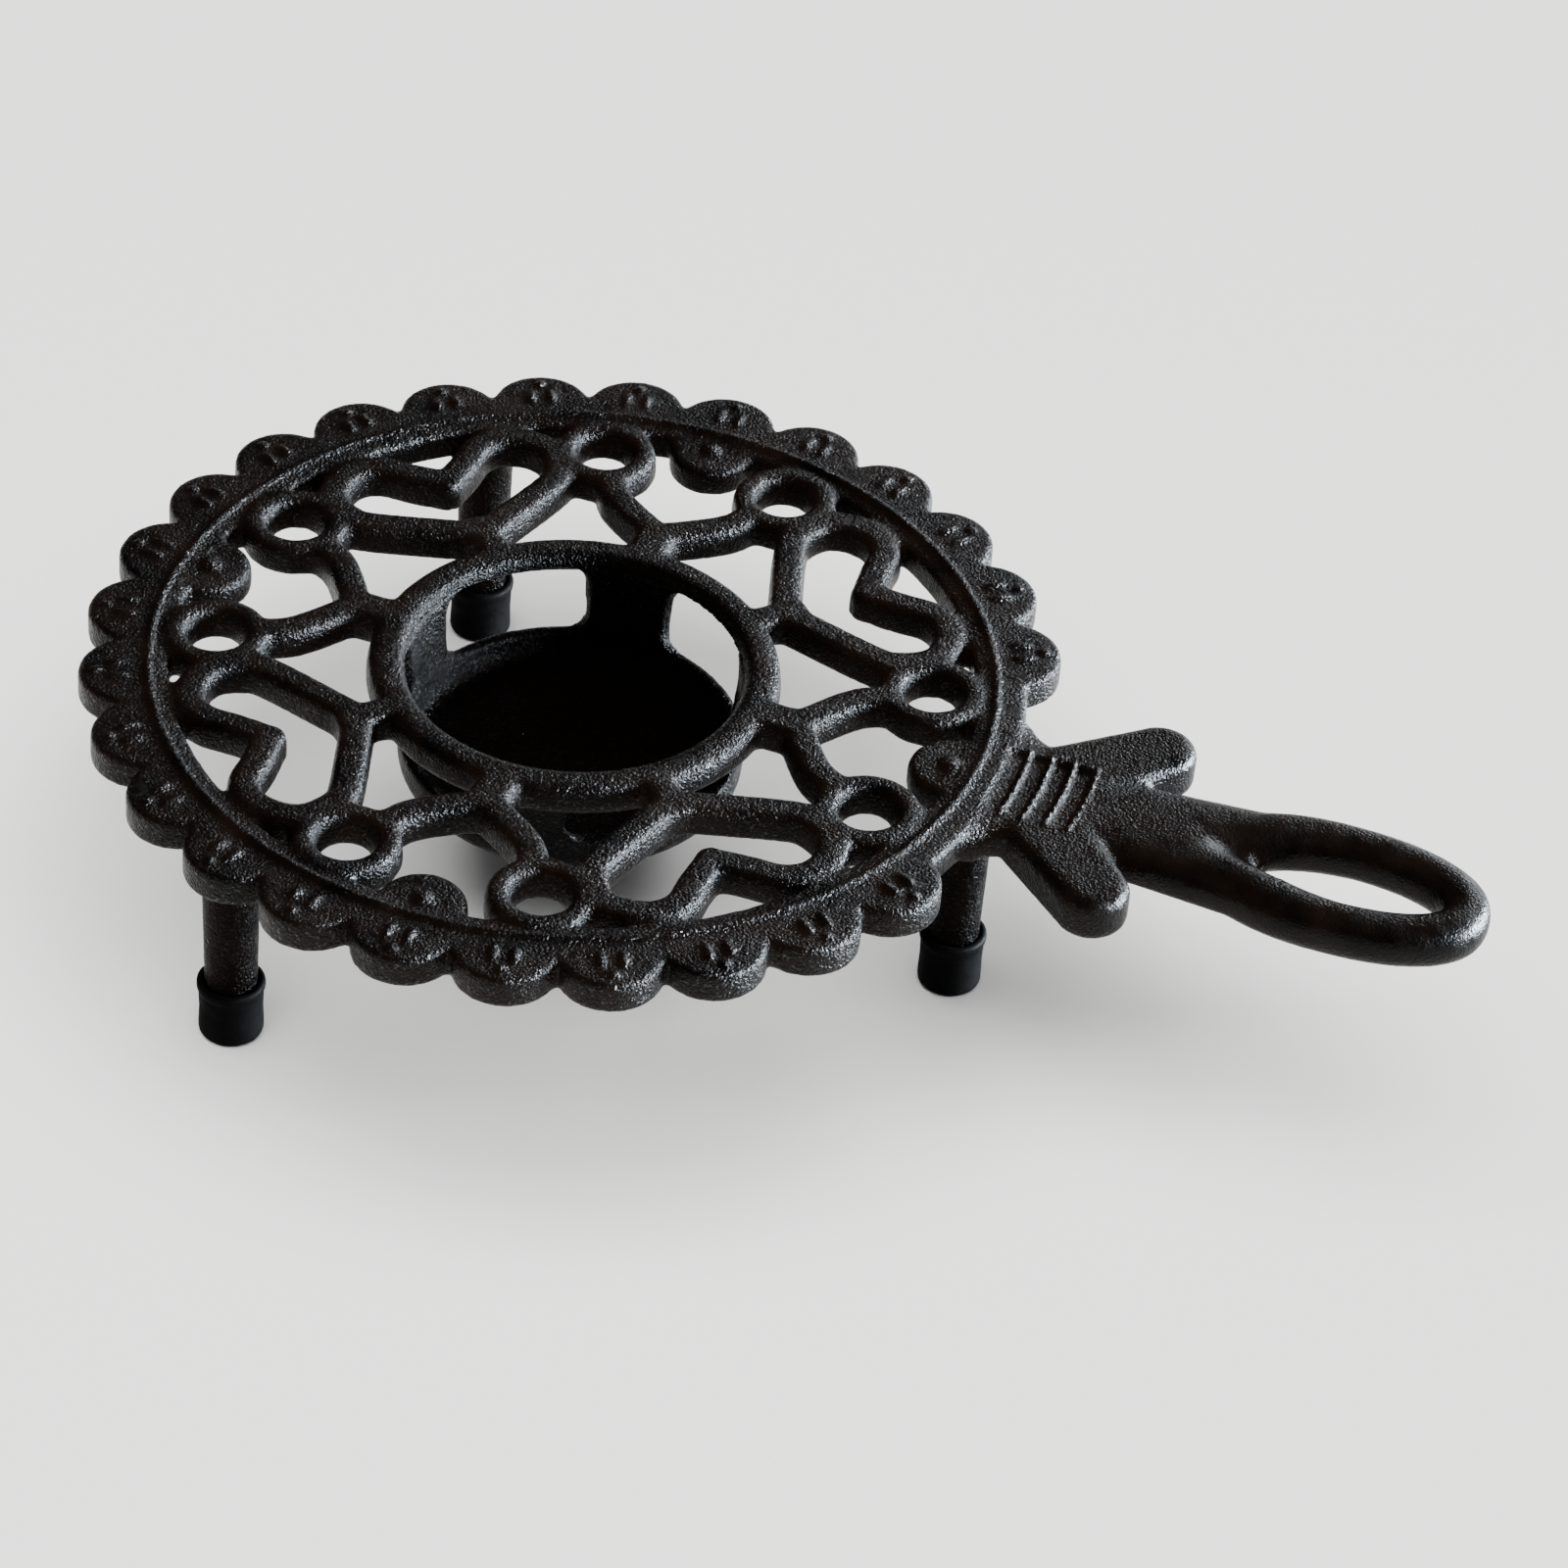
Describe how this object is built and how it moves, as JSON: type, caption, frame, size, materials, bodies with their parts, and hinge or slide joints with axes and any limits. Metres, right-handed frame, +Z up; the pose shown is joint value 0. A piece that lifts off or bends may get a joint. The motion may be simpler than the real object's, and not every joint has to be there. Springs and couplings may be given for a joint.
{
  "type": "teapot warmer stand",
  "caption": "Round openwork cast-iron stand that holds a tea light under a teapot, with a scalloped rim, hanging candle basket, rubber-capped legs and a flat looped handle.",
  "frame": {"origin": "on the table, under the middle of the whole outline; the plate's own axis lies 32.7 mm towards -X", "axes": "+X along the handle, away from the plate; +Z up"},
  "size_m": [0.2074, 0.142, 0.04],
  "materials": {
    "cast_iron": "black cast iron with a sandy grain, a faint warm brown tint and a semi-gloss protective coat",
    "rubber": "matte black moulded rubber"
  },
  "bodies": {
    "root": {"scalloped_rim": "cast_iron", "candle_ring": "cast_iron", "candle_dish": "cast_iron", "handle": "cast_iron", "scroll_bracket_1": "cast_iron", "scroll_bracket_2": "cast_iron", "scroll_bracket_3": "cast_iron", "scroll_bracket_4": "cast_iron", "heart_1": "cast_iron", "heart_2": "cast_iron", "heart_3": "cast_iron", "heart_4": "cast_iron", "basket_strap_1": "cast_iron", "basket_strap_2": "cast_iron", "basket_strap_3": "cast_iron", "basket_strap_4": "cast_iron", "leg_1": "cast_iron", "leg_2": "cast_iron", "leg_3": "cast_iron", "foot_cap_1": "rubber", "foot_cap_2": "rubber", "foot_cap_3": "rubber"}
  },
  "joints": []
}
